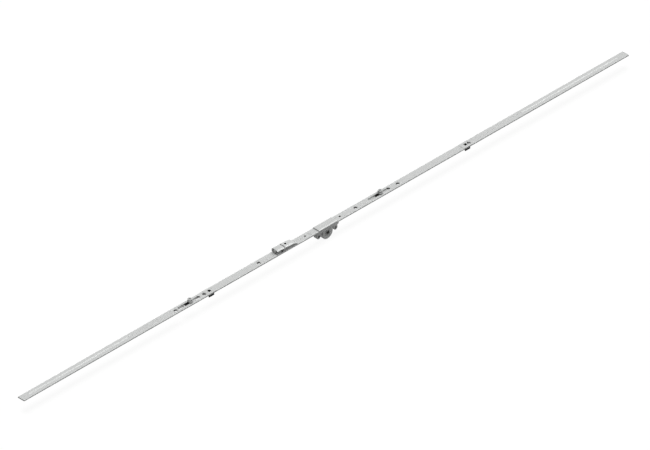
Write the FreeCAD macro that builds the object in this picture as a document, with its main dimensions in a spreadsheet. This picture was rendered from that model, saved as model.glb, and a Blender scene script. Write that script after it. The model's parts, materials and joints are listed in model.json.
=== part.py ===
"""Window espagnolette: a faceplate with a gearbox, a sliding drive rod, two cams and a sash lifter.

The origin is the centre of the square spindle hole. +X runs along the faceplate, +Z is the
faceplate's outward normal and Y is the spindle's axis. All sizes are in millimetres.
The piece is drawn with the drive rod at the middle of its travel.
"""
import FreeCAD, Part
import math
import os
import Sketcher

SIZES = [
    # Faceplate
    ("plate_left", 766.5),
    ("plate_right", 773.5),
    ("plate_width", 16.0),
    ("plate_thickness", 2.5),
    ("plate_bevel", 0.4),
    ("groove_length", 249.0),
    ("groove_width", 3.0),
    ("groove_depth", 1.0),
    ("groove_end_margin", 20.0),
    # Raised bridge over the pinion
    ("bridge_left", 24.2),
    ("bridge_right", 22.5),
    ("bridge_rise", 2.4),
    ("bridge_bevel", 1.6),
    ("bridge_channel_side_gap", 1.6),
    # Round staking marks beside the bridge
    ("stake_mark_left", 41.5),
    ("stake_mark_right", 25.5),
    ("stake_mark_radius", 2.8),
    ("stake_mark_width", 0.7),
    ("stake_mark_depth", 0.3),
    # Pinion and rack
    ("pinion_teeth", 12),
    ("rack_pitch", 6.0),
    ("rack_pitch_depth", 1.21),
    ("tooth_addendum", 1.05),
    ("tooth_dedendum", 1.55),
    ("tooth_tip_width", 1.6),
    ("tooth_root_width", 2.9),
    ("tooth_foot_overlap", 1.0),
    ("pinion_width", 4.8),
    ("hub_radius", 6.2),
    ("hub_stand_out", 0.3),
    ("hub_clearance", 0.06),
    ("spindle_square", 7.1),
    ("rack_slot_length", 3.5),
    ("rack_slot_side_gap", 0.3),
    # Drive rod
    ("rod_width", 9.0),
    ("rod_thickness", 2.0),
    ("rod_gap", 0.25),
    ("rod_left_end", 455.0),
    ("rod_right_end", 455.0),
    ("rack_left_end", 56.0),
    ("rack_right_end", 46.0),
    ("hook_neck_length", 3.0),
    ("hook_neck_width", 3.0),
    ("hook_head_length", 3.5),
    ("hook_head_width", 6.0),
    ("hook_clearance", 0.05),
    ("coupling_hole_radius", 3.0),
    ("coupling_hole_margin", 8.0),
    ("gauge_hole_radius", 2.1),
    ("gauge_hole_left", 52.0),
    ("gauge_hole_right", 36.0),
    # Screws that fix the faceplate, each seen from the spindle along X
    ("screw_radius", 2.25),
    ("screw_head_radius", 4.2),
    ("screw_head_depth", 1.9),
    ("screw_slot_spare", 0.5),
    ("outer_left_screw_x", -380.0),
    ("clip_left_screw_x", -308.0),
    ("middle_left_screw_x", -170.0),
    ("inner_right_screw_x", 76.0),
    ("middle_right_screw_x", 184.0),
    ("clip_right_screw_x", 366.5),
    # Gear casing
    ("casing_width", 8.6),
    ("casing_round_wall", 0.5),
    ("casing_round_bevel", 0.5),
    ("casing_round_stand_out", 1.2),
    ("casing_gap", 0.25),
    ("casing_arm_drop", 7.2),
    ("casing_shelf_thickness", 1.6),
    ("casing_rail_left", 31.0),
    ("casing_rail_right", 26.1),
    ("casing_rail_inset", 0.6),
    ("casing_side_gap", 0.3),
    ("boss_spacing", 43.0),
    ("boss_radius", 4.6),
    ("handle_screw_radius", 2.65),
    ("index_hole_radius", 1.4),
    ("index_hole_x", 1.2),
    ("index_hole_z", 8.6),
    ("casing_rivet_x", 14.8),
    ("casing_rivet_z", 6.4),
    ("casing_rivet_radius", 1.2),
    ("casing_rivet_head_radius", 1.7),
    ("casing_rivet_head_height", 0.5),
    ("casing_rivet_sink", 0.3),
    ("casing_rivet_seat_gap", 0.1),
    ("fixing_rivet_left", 27.5),
    ("fixing_rivet_right", 24.3),
    ("fixing_rivet_radius", 0.85),
    ("fixing_rivet_head_radius", 1.25),
    ("fixing_rivet_head_height", 0.8),
    ("fixing_rivet_depth", 2.6),
    ("rivet_clearance", 0.04),
    # Guide clips
    ("clip_left_x", -295.0),
    ("clip_right_x", 358.0),
    ("clip_length", 13.0),
    ("clip_width", 13.0),
    ("clip_side_gap", 0.3),
    ("clip_rod_gap", 0.2),
    ("clip_top_web", 1.2),
    ("clip_low_web", 1.4),
    ("clip_foot_height", 2.0),
    ("clip_stud_side", 5.5),
    ("clip_stud_stand_out", 0.15),
    ("clip_seat_gap", 0.1),
    ("clip_pad_length", 22.0),
    ("clip_pad_rise", 0.5),
    # Cams
    ("cam_left_x", -344.4),
    ("cam_right_x", 138.3),
    ("cam_slot_left_spare", 0.5),
    ("cam_slot_right_spare", 3.6),
    ("cam_slot_side_gap", 0.2),
    ("cam_shoulder_radius", 3.3),
    ("cam_journal_radius", 2.6),
    ("cam_running_gap", 0.05),
    ("cam_eccentricity", 0.8),
    ("cam_flange_radius", 4.2),
    ("cam_flange_height", 0.4),
    ("cam_flange_gap", 0.3),
    ("cam_post_radius", 3.4),
    ("cam_roller_radius", 5.2),
    ("cam_roller_height", 3.4),
    ("cam_roller_gap", 0.08),
    ("cam_roller_end_gap", 0.2),
    ("cam_head_radius", 4.5),
    ("cam_head_height", 2.5),
    ("cam_head_bevel", 0.5),
    ("cam_head_under_bevel", 1.1),
    ("cam_socket_across", 4.0),
    ("cam_socket_depth", 3.0),
    ("cam_foot_radius", 4.0),
    ("cam_foot_height", 1.1),
    ("washer_radius", 4.2),
    ("washer_thickness", 0.5),
    ("plug_offset", 7.2),
    ("plug_peg_radius", 1.5),
    ("plug_peg_depth", 0.6),
    # Sash lifter
    ("lifter_left", -110.0),
    ("lifter_ridge", -91.0),
    ("lifter_right", -78.0),
    ("lifter_width", 15.6),
    ("lifter_height_left", 9.2),
    ("lifter_height_ridge", 7.8),
    ("lifter_height_right", 0.8),
    ("lifter_bevel", 2.2),
    ("lifter_cheek_left", -114.7),
    ("lifter_cheek_height", 6.1),
    ("lifter_fork_back", -105.6),
    ("lifter_fork_height", 6.8),
    ("lifter_fork_gap", 0.3),
    ("lifter_screw_x", -102.5),
    ("lifter_rivet_left_x", -96.0),
    ("lifter_rivet_right_x", -86.0),
    ("lifter_rivet_radius", 1.4),
    ("lifter_rivet_head_radius", 2.4),
    ("lifter_rivet_head_height", 1.0),
    ("lifter_rivet_depth", 3.0),
    ("lever_left", -129.5),
    ("lever_body_right", -120.0),
    ("lever_lip_right", -112.0),
    ("lever_lip_height", 6.8),
    ("lever_tongue_width", 6.4),
    ("lever_tongue_height", 6.3),
    ("lever_floor", 1.6),
    ("lever_stop_gap", 0.2),
    ("lever_pivot_x", -108.3),
    ("lever_pivot_height", 3.9),
    ("pivot_pin_radius", 1.5),
    ("pivot_pin_recess", 0.2),
    ("pivot_pin_clearance", 0.05),
    ("nose_opening_width", 11.2),
    ("nose_opening_low", 2.7),
    ("nose_opening_high", 7.7),
    ("nose_roller_x", -127.2),
    ("nose_roller_radius", 3.4),
    ("nose_roller_end_gap", 0.2),
    ("nose_roller_clear", 0.4),
    ("nose_pin_radius", 1.25),
    ("nose_pin_clearance", 0.05),
    ("nose_pin_top", 8.6),
    ("spring_x", -120.0),
    ("spring_radius", 1.8),
    ("spring_wire_radius", 0.28),
    ("spring_turns", 5),
    ("spring_pocket_gap", 0.3),
    ("spring_length", 6.0),
]

document = FreeCAD.newDocument("WindowEspagnolette")
sheet = document.addObject("Spreadsheet::Sheet", "Sizes")
for row, (alias, number) in enumerate(SIZES, start=1):
    sheet.set(f"A{row}", alias)
    sheet.set(f"B{row}", str(number))
    sheet.setAlias(f"B{row}", alias)
document.recompute()

# Heights along Z, worked out from the pinion up to the faceplate
PITCH_RADIUS = "(Sizes.pinion_teeth * Sizes.rack_pitch / (2 * pi))"
TIP_RADIUS = f"({PITCH_RADIUS} + Sizes.tooth_addendum)"
ROOT_RADIUS = f"({PITCH_RADIUS} - Sizes.tooth_dedendum)"
ROD_UNDER = f"({PITCH_RADIUS} - Sizes.rack_pitch_depth)"
ROD_TOP = f"({ROD_UNDER} + Sizes.rod_thickness)"
PLATE_UNDER = f"({ROD_TOP} + Sizes.rod_gap)"
PLATE_TOP = f"({PLATE_UNDER} + Sizes.plate_thickness)"

# A quarter turn of the pinion moves the rod this far each way
TRAVEL = "(Sizes.pinion_teeth * Sizes.rack_pitch / 4)"

HALF_PLATE = "(Sizes.plate_width / 2)"
HALF_ROD = "(Sizes.rod_width / 2)"
SCREW_SLOT_REACH = f"({TRAVEL} + Sizes.screw_slot_spare)"
SCREW_SLOT_RADIUS = "(Sizes.screw_radius + Sizes.screw_slot_spare)"

PLATE_SCREWS = ["outer_left", "clip_left", "middle_left", "inner_right", "middle_right", "clip_right"]
LEFT_ROD_SCREWS = ["outer_left_screw_x", "clip_left_screw_x", "middle_left_screw_x", "lifter_screw_x"]
RIGHT_ROD_SCREWS = ["inner_right_screw_x", "middle_right_screw_x", "clip_right_screw_x"]
SIDES = ["left", "right"]

# Placements that turn a sketch or a cylinder to face along an axis
UPRIGHT = FreeCAD.Rotation()
ALONG_Y = FreeCAD.Rotation(FreeCAD.Vector(1, 0, 0), -90)
SKETCH_XZ = FreeCAD.Rotation(FreeCAD.Vector(1, 0, 0), 90)
SKETCH_YZ = FreeCAD.Rotation(0.5, 0.5, 0.5, 0.5)


def value(expression):
    """The number that an expression over the sheet stands for."""
    return float(sheet.evalExpression(expression))


def bind(item, bindings):
    for name, expression in bindings.items():
        item.setExpression(name, expression)
    return item


def place(item, x, y, z, rotation=UPRIGHT):
    item.Placement = FreeCAD.Placement(FreeCAD.Vector(0, 0, 0), rotation)
    return bind(item, {"Placement.Base.x": x, "Placement.Base.y": y, "Placement.Base.z": z})


def slab(name, x, y, z):
    """A box between a low and a high expression along each axis."""
    item = document.addObject("Part::Box", name)
    bind(item, {
        "Length": f"({x[1]}) - ({x[0]})",
        "Width": f"({y[1]}) - ({y[0]})",
        "Height": f"({z[1]}) - ({z[0]})",
    })
    return place(item, x[0], y[0], z[0])


def middle(half):
    """The span from minus half to plus half."""
    return f"-({half})", f"{half}"


def around(centre, half):
    """The span that reaches half to each side of centre."""
    return f"({centre}) - ({half})", f"({centre}) + ({half})"


def upright(name, x, y, radius, z):
    """A cylinder along Z between two heights."""
    item = document.addObject("Part::Cylinder", name)
    bind(item, {"Radius": radius, "Height": f"({z[1]}) - ({z[0]})"})
    return place(item, x, y, z[0])


def crosswise(name, x, z, radius, y):
    """A cylinder along Y between two places."""
    item = document.addObject("Part::Cylinder", name)
    bind(item, {"Radius": radius, "Height": f"({y[1]}) - ({y[0]})"})
    return place(item, x, y[0], z, ALONG_Y)


def taper(name, x, y, low_radius, high_radius, z):
    """A cone along Z between two heights."""
    item = document.addObject("Part::Cone", name)
    bind(item, {"Radius1": low_radius, "Radius2": high_radius, "Height": f"({z[1]}) - ({z[0]})"})
    return place(item, x, y, z[0])


def crosswise_taper(name, x, z, low_radius, high_radius, y):
    """A cone along Y between two places."""
    item = document.addObject("Part::Cone", name)
    bind(item, {"Radius1": low_radius, "Radius2": high_radius, "Height": f"({y[1]}) - ({y[0]})"})
    return place(item, x, y[0], z, ALONG_Y)


def fuse(name, pieces):
    item = document.addObject("Part::MultiFuse", name)
    item.Shapes = pieces
    item.Refine = True
    return item


def cut(name, base, tools):
    item = document.addObject("Part::Cut", name)
    item.Base = base
    item.Tool = tools[0] if len(tools) == 1 else fuse(name + "_tools", tools)
    item.Refine = True
    return item


def ring(name, x, inner, outer, z):
    """An upright ring on the centre line of the faceplate."""
    return cut(name, upright(f"{name}_disc", x, "0", outer, z),
               [upright(f"{name}_bore", x, "0", inner, z)])


def slot(name, x, half_width, z):
    """A round ended slot along X whose end centres lie at the two x expressions."""
    return fuse(name, [
        slab(name + "_middle", x, middle(half_width), z),
        upright(name + "_low_end", x[0], "0", half_width, z),
        upright(name + "_high_end", x[1], "0", half_width, z),
    ])


def draw(sketch, corners):
    """A closed outline in a sketch, each corner bound to a pair of expressions."""
    spots = [FreeCAD.Vector(value(across), value(up), 0) for across, up in corners]
    count = len(spots)
    first = sketch.GeometryCount
    for index, spot in enumerate(spots):
        sketch.addGeometry(Part.LineSegment(spot, spots[(index + 1) % count]), False)
    for index in range(count):
        line = first + index
        follower = first + (index + 1) % count
        sketch.addConstraint(Sketcher.Constraint("Coincident", line, 2, follower, 1))
    for index, (across, up) in enumerate(corners):
        for kind, distance, expression in (
            ("DistanceX", spots[index].x, across),
            ("DistanceY", spots[index].y, up),
        ):
            tie = Sketcher.Constraint(kind, -1, 1, first + index, 1, distance)
            number = sketch.addConstraint(tie)
            sketch.setExpression(f"Constraints[{number}]", expression)


def prism(name, corners, rotation, reach):
    """An outline drawn upright on the XZ or the YZ plane and stretched along its normal."""
    sketch = document.addObject("Sketcher::SketchObject", name + "_outline")
    sketch.Placement = FreeCAD.Placement(FreeCAD.Vector(0, 0, 0), rotation)
    draw(sketch, corners)
    item = document.addObject("Part::Extrusion", name)
    item.Base = sketch
    item.DirMode = "Normal"
    item.Solid = True
    forward, backward = reach
    return bind(item, {"LengthFwd": forward, "LengthRev": backward})


def prism_along_x(name, corners, x):
    return prism(name, corners, SKETCH_YZ, (x[1], f"-({x[0]})"))


def prism_along_y(name, corners, y):
    return prism(name, corners, SKETCH_XZ, (f"-({y[0]})", y[1]))


# Faceplate

def plate_length_of(name, x, top, bevel):
    """A stretch of the faceplate with both top edges bevelled."""
    return prism_along_x(name, [
        (f"-{HALF_PLATE}", PLATE_UNDER),
        (HALF_PLATE, PLATE_UNDER),
        (HALF_PLATE, f"{top} - {bevel}"),
        (f"{HALF_PLATE} - {bevel}", top),
        (f"-{HALF_PLATE} + {bevel}", top),
        (f"-{HALF_PLATE}", f"{top} - {bevel}"),
    ], x)


def end_groove(name, x):
    """The shallow pressed groove along an end of the faceplate."""
    return prism_along_x(name, [
        ("-Sizes.groove_width / 2", PLATE_TOP),
        ("0", f"{PLATE_TOP} - Sizes.groove_depth"),
        ("Sizes.groove_width / 2", PLATE_TOP),
    ], x)


def screw_hole(name, x):
    """A countersunk hole through the faceplate."""
    cone_foot = f"{PLATE_TOP} - Sizes.screw_head_depth"
    return [
        upright(name, x, "0", "Sizes.screw_radius", (PLATE_UNDER, PLATE_TOP)),
        taper(name + "_countersink", x, "0", "Sizes.screw_radius", "Sizes.screw_head_radius",
              (cone_foot, PLATE_TOP)),
    ]


CAM_SLOT_HALF_WIDTH = "(Sizes.cam_shoulder_radius + Sizes.cam_slot_side_gap)"


def cam_slot(side):
    """The slot in the faceplate that a cam and its plug slide along."""
    cam = f"Sizes.cam_{side}_x"
    low = f"{cam} - Sizes.plug_offset - {TRAVEL} - Sizes.cam_slot_left_spare"
    high = f"{cam} + {TRAVEL} + Sizes.cam_slot_right_spare"
    return slot(f"cam_slot_{side}", (low, high), CAM_SLOT_HALF_WIDTH, (PLATE_UNDER, PLATE_TOP))


CLIP_ROOF = f"({ROD_TOP} + Sizes.clip_rod_gap + Sizes.clip_top_web)"
CLIP_PAD_TOP = f"({PLATE_TOP} + Sizes.clip_pad_rise)"


def clip_openings(side):
    """The seat under the faceplate and the square hole that hold a guide clip."""
    centre = f"Sizes.clip_{side}_x"
    seat_length = "(Sizes.clip_length / 2 + Sizes.clip_seat_gap)"
    seat_width = "(Sizes.clip_width / 2 + Sizes.clip_seat_gap)"
    hole = "(Sizes.clip_stud_side / 2 + Sizes.clip_seat_gap)"
    return [
        slab(f"clip_seat_{side}", around(centre, seat_length), middle(seat_width),
             (PLATE_UNDER, CLIP_ROOF)),
        slab(f"clip_hole_{side}", around(centre, hole), middle(hole), (PLATE_UNDER, CLIP_PAD_TOP)),
    ]


RAIL_INSIDE = f"({HALF_ROD} + Sizes.casing_side_gap)"
RAIL_OUTSIDE = f"({HALF_PLATE} - Sizes.casing_rail_inset)"
FIXING_RIVET_Y = f"(({RAIL_INSIDE} + {RAIL_OUTSIDE}) / 2)"
FIXING_RIVETS = [
    ("left_front", "-Sizes.fixing_rivet_left", -1),
    ("left_back", "-Sizes.fixing_rivet_left", 1),
    ("right_front", "Sizes.fixing_rivet_right", -1),
    ("right_back", "Sizes.fixing_rivet_right", 1),
]


def fixing_rivet_solids(name, clearance):
    """The four flush rivets that hold the casing's rails, or their holes where a clearance is given."""
    solids = []
    for corner, x, across in FIXING_RIVETS:
        y = f"{across} * {FIXING_RIVET_Y}"
        low = f"{PLATE_UNDER} - Sizes.fixing_rivet_depth"
        neck = f"{PLATE_TOP} - Sizes.fixing_rivet_head_height"
        solids.append(fuse(f"{name}_{corner}", [
            upright(f"{name}_{corner}_shank", x, y, f"Sizes.fixing_rivet_radius + {clearance}",
                    (low, PLATE_TOP)),
            taper(f"{name}_{corner}_head", x, y, f"Sizes.fixing_rivet_radius + {clearance}",
                  f"Sizes.fixing_rivet_head_radius + {clearance}", (neck, PLATE_TOP)),
        ]))
    return solids


def lifter_rivet_solids(name, clearance):
    """The rivets under the lifter housing, flush with the faceplate's underside."""
    solids = []
    for side in SIDES:
        x = f"Sizes.lifter_rivet_{side}_x"
        neck = f"{PLATE_UNDER} + Sizes.lifter_rivet_head_height"
        high = f"{PLATE_TOP} + Sizes.lifter_rivet_depth"
        solids.append(fuse(f"{name}_{side}", [
            upright(f"{name}_{side}_shank", x, "0", f"Sizes.lifter_rivet_radius + {clearance}",
                    (PLATE_UNDER, high)),
            taper(f"{name}_{side}_head", x, "0", f"Sizes.lifter_rivet_head_radius + {clearance}",
                  f"Sizes.lifter_rivet_radius + {clearance}", (PLATE_UNDER, neck)),
        ]))
    return solids


def stake_mark(name, x):
    """A shallow ring pressed into the faceplate's top."""
    z = (f"{PLATE_TOP} - Sizes.stake_mark_depth", PLATE_TOP)
    inner = "Sizes.stake_mark_radius - Sizes.stake_mark_width"
    return ring(name, x, inner, "Sizes.stake_mark_radius", z)


def make_faceplate():
    bridge_top = f"({PLATE_TOP} + Sizes.bridge_rise)"
    pad_half = "Sizes.clip_pad_length / 2"
    lengths = [
        plate_length_of("plate_strip", ("-Sizes.plate_left", "Sizes.plate_right"), PLATE_TOP,
                        "Sizes.plate_bevel"),
        plate_length_of("plate_bridge", ("-Sizes.bridge_left", "Sizes.bridge_right"), bridge_top,
                        "Sizes.bridge_bevel"),
    ]
    tools = []
    for side in SIDES:
        lengths.append(plate_length_of(f"clip_pad_{side}", around(f"Sizes.clip_{side}_x", pad_half),
                                       CLIP_PAD_TOP, "Sizes.plate_bevel"))
        tools += clip_openings(side)
        tools.append(cam_slot(side))
    for screw in PLATE_SCREWS:
        tools += screw_hole(f"{screw}_screw_hole", f"Sizes.{screw}_screw_x")
    channel = "(Sizes.pinion_width / 2 + Sizes.bridge_channel_side_gap)"
    tools.append(slab("bridge_channel", ("-Sizes.bridge_left + Sizes.bridge_bevel",
                                         "Sizes.bridge_right - Sizes.bridge_bevel"),
                      middle(channel), (PLATE_UNDER, f"{PLATE_UNDER} + Sizes.bridge_rise")))
    tools.append(end_groove("left_groove", ("-Sizes.plate_left + Sizes.groove_end_margin",
                                            "-Sizes.plate_left + Sizes.groove_end_margin"
                                            " + Sizes.groove_length")))
    tools.append(end_groove("right_groove", ("Sizes.plate_right - Sizes.groove_end_margin"
                                             " - Sizes.groove_length",
                                             "Sizes.plate_right - Sizes.groove_end_margin")))
    for side, sign in (("left", "-"), ("right", "")):
        tools.append(upright(f"plate_gauge_hole_{side}", f"{sign}Sizes.gauge_hole_{side}", "0",
                             "Sizes.gauge_hole_radius", (PLATE_UNDER, PLATE_TOP)))
        tools.append(stake_mark(f"stake_mark_ring_{side}", f"{sign}Sizes.stake_mark_{side}"))
    tools.append(upright("plate_lifter_screw_hole", "Sizes.lifter_screw_x", "0", "Sizes.screw_radius",
                         (PLATE_UNDER, PLATE_TOP)))
    tools += fixing_rivet_solids("fixing_rivet_hole", "Sizes.rivet_clearance")
    tools += lifter_rivet_solids("lifter_rivet_hole", "Sizes.rivet_clearance")
    return cut("faceplate", fuse("plate_lengths", lengths), tools)


# Drive rod

def hook(name, end, direction, clearance):
    """The hooked tongue at an end of the rack bar, or the pocket for it where a clearance is given."""
    sign = "-" if direction < 0 else ""
    turn = -1 if direction < 0 else 1
    neck_end = f"({sign}{end} + {turn} * Sizes.hook_neck_length)"
    head_end = f"({neck_end} + {turn} * (Sizes.hook_head_length + {clearance}))"
    head_start = f"({neck_end} - {turn} * {clearance})"
    start = f"({sign}{end} - {turn} * Sizes.hook_neck_length)"
    neck_half = f"(Sizes.hook_neck_width / 2 + {clearance})"
    head_half = f"(Sizes.hook_head_width / 2 + {clearance})"
    neck = (start, neck_end) if direction > 0 else (neck_end, start)
    head = (head_start, head_end) if direction > 0 else (head_end, head_start)
    return [
        slab(name + "_neck", neck, middle(neck_half), (ROD_UNDER, ROD_TOP)),
        slab(name + "_head", head, middle(head_half), (ROD_UNDER, ROD_TOP)),
    ]


def make_rack_bar():
    bar = [slab("rack_strip", ("-Sizes.rack_left_end", "Sizes.rack_right_end"), middle(HALF_ROD),
                (ROD_UNDER, ROD_TOP))]
    bar += hook("rack_left_hook", "Sizes.rack_left_end", -1, "0")
    bar += hook("rack_right_hook", "Sizes.rack_right_end", 1, "0")
    reach = math.ceil(value(f"({TRAVEL} + sqrt({TIP_RADIUS}^2 - {ROD_UNDER}^2)) / Sizes.rack_pitch")) - 1
    slot_half = "(Sizes.pinion_width / 2 + Sizes.rack_slot_side_gap)"
    tools = []
    for step in range(-reach, reach + 1):
        centre = f"{step} * Sizes.rack_pitch"
        name = f"rack_slot_{step + reach}"
        tools.append(slab(name, around(centre, "Sizes.rack_slot_length / 2"), middle(slot_half),
                          (ROD_UNDER, ROD_TOP)))
    for side, sign in (("left", "-"), ("right", "")):
        tools.append(upright(f"rack_gauge_hole_{side}", f"{sign}Sizes.gauge_hole_{side}", "0",
                             "Sizes.gauge_hole_radius", (ROD_UNDER, ROD_TOP)))
    return cut("rack_bar", fuse("rack_blank", bar), tools)


def make_drive_rod(side, screws):
    """A flat rod that hooks onto the rack bar and carries one cam."""
    rack_end = f"Sizes.rack_{side}_end"
    rod_end = f"Sizes.rod_{side}_end"
    joint = f"{rack_end} + Sizes.hook_clearance"
    if side == "left":
        span = (f"-{rod_end}", f"-({joint})")
        coupling = f"-({rod_end} - Sizes.coupling_hole_margin)"
        direction = -1
    else:
        span = (joint, rod_end)
        coupling = f"{rod_end} - Sizes.coupling_hole_margin"
        direction = 1
    cam = f"Sizes.cam_{side}_x"
    tools = hook(f"drive_rod_{side}_pocket", rack_end, direction, "Sizes.hook_clearance")
    for number, screw in enumerate(screws):
        tools.append(slot(f"drive_rod_{side}_slot_{number}", around(f"Sizes.{screw}", SCREW_SLOT_REACH),
                          SCREW_SLOT_RADIUS, (ROD_UNDER, ROD_TOP)))
    tools.append(upright(f"cam_hole_{side}", cam, "0", "Sizes.cam_journal_radius + Sizes.cam_running_gap",
                         (ROD_UNDER, ROD_TOP)))
    tools.append(upright(f"plug_hole_{side}", f"{cam} - Sizes.plug_offset", "0",
                         "Sizes.plug_peg_radius + Sizes.rivet_clearance", (ROD_UNDER, ROD_TOP)))
    tools.append(upright(f"coupling_hole_{side}", coupling, "0", "Sizes.coupling_hole_radius",
                         (ROD_UNDER, ROD_TOP)))
    strip = slab(f"drive_rod_{side}_strip", span, middle(HALF_ROD), (ROD_UNDER, ROD_TOP))
    return cut(f"drive_rod_{side}", strip, tools)


# Pinion and casing

HALF_CASING = "(Sizes.casing_width / 2)"
HALF_ROUND = f"({HALF_CASING} + Sizes.casing_round_stand_out)"


def origin_plane(body, role):
    return next(plane for plane in body.Origin.OriginFeatures if plane.Role == role)


def body_sketch(body, name):
    """A sketch on the body's own XZ plane."""
    sketch = body.newObject("Sketcher::SketchObject", name)
    sketch.AttachmentSupport = [(origin_plane(body, "XZ_Plane"), "")]
    sketch.MapMode = "FlatFace"
    return sketch


def draw_circle(sketch, radius):
    """A circle about the sketch's origin, its radius bound to an expression."""
    centre = FreeCAD.Vector(0, 0, 0)
    number = sketch.addGeometry(Part.Circle(centre, FreeCAD.Vector(0, 0, 1), value(radius)), False)
    sketch.addConstraint(Sketcher.Constraint("Coincident", number, 3, -1, 1))
    tie = sketch.addConstraint(Sketcher.Constraint("Radius", number, value(radius)))
    sketch.setExpression(f"Constraints[{tie}]", radius)


def pad_both_ways(body, name, sketch, length):
    pad = body.newObject("PartDesign::Pad", name)
    pad.Profile = sketch
    pad.Midplane = True
    pad.setExpression("Length", length)
    return pad


def make_follower_pinion():
    """Twelve straight sided teeth around a hub with a square hole."""
    body = document.addObject("PartDesign::Body", "follower_pinion")
    wheel_sketch = body_sketch(body, "pinion_wheel_outline")
    draw_circle(wheel_sketch, ROOT_RADIUS)
    pad_both_ways(body, "pinion_wheel", wheel_sketch, "Sizes.pinion_width")

    tooth_sketch = body_sketch(body, "pinion_tooth_outline")
    tooth_foot = f"{ROOT_RADIUS} - Sizes.tooth_foot_overlap"
    draw(tooth_sketch, [
        ("-Sizes.tooth_root_width / 2", tooth_foot),
        ("Sizes.tooth_root_width / 2", tooth_foot),
        ("Sizes.tooth_root_width / 2", ROOT_RADIUS),
        ("Sizes.tooth_tip_width / 2", TIP_RADIUS),
        ("-Sizes.tooth_tip_width / 2", TIP_RADIUS),
        ("-Sizes.tooth_root_width / 2", ROOT_RADIUS),
    ])
    tooth = pad_both_ways(body, "pinion_tooth", tooth_sketch, "Sizes.pinion_width")
    document.recompute()
    teeth = body.newObject("PartDesign::PolarPattern", "pinion_teeth_round")
    teeth.Originals = [tooth]
    teeth.Axis = (tooth_sketch, ["N_Axis"])
    teeth.Angle = 360
    teeth.setExpression("Occurrences", "Sizes.pinion_teeth")
    body.Tip = teeth
    document.recompute()

    hub_sketch = body_sketch(body, "pinion_hub_outline")
    draw_circle(hub_sketch, "Sizes.hub_radius")
    pad_both_ways(body, "pinion_hub", hub_sketch, f"2 * ({HALF_ROUND} + Sizes.hub_stand_out)")
    document.recompute()

    square_sketch = body_sketch(body, "spindle_square_outline")
    half = "Sizes.spindle_square / 2"
    draw(square_sketch, [(f"-{half}", f"-{half}"), (half, f"-{half}"), (half, half), (f"-{half}", half)])
    square = body.newObject("PartDesign::Pocket", "spindle_hole")
    square.Profile = square_sketch
    square.Midplane = True
    square.Type = "ThroughAll"
    return body


CASING_TOP = f"({ROD_UNDER} - Sizes.rod_gap)"
CASING_INSIDE = f"({TIP_RADIUS} + Sizes.casing_gap)"
CASING_OUTSIDE = f"({CASING_INSIDE} + Sizes.casing_round_wall)"
HALF_BOSSES = "(Sizes.boss_spacing / 2)"
RAIL_SPAN = ("-Sizes.casing_rail_left", "Sizes.casing_rail_right")
CASING_CAVITY = "(Sizes.pinion_width / 2 + Sizes.casing_gap)"
RIVET_END = f"({HALF_CASING} - Sizes.casing_rivet_sink)"
RIVET_SEAT = f"({RIVET_END} - Sizes.casing_rivet_head_height)"


def crosswise_span(sign, inner, outer):
    """The span along Y from inner to outer on the front (-1) or the back (+1) side."""
    if sign < 0:
        return f"-({outer})", f"-({inner})"
    return f"{inner}", f"{outer}"


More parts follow.
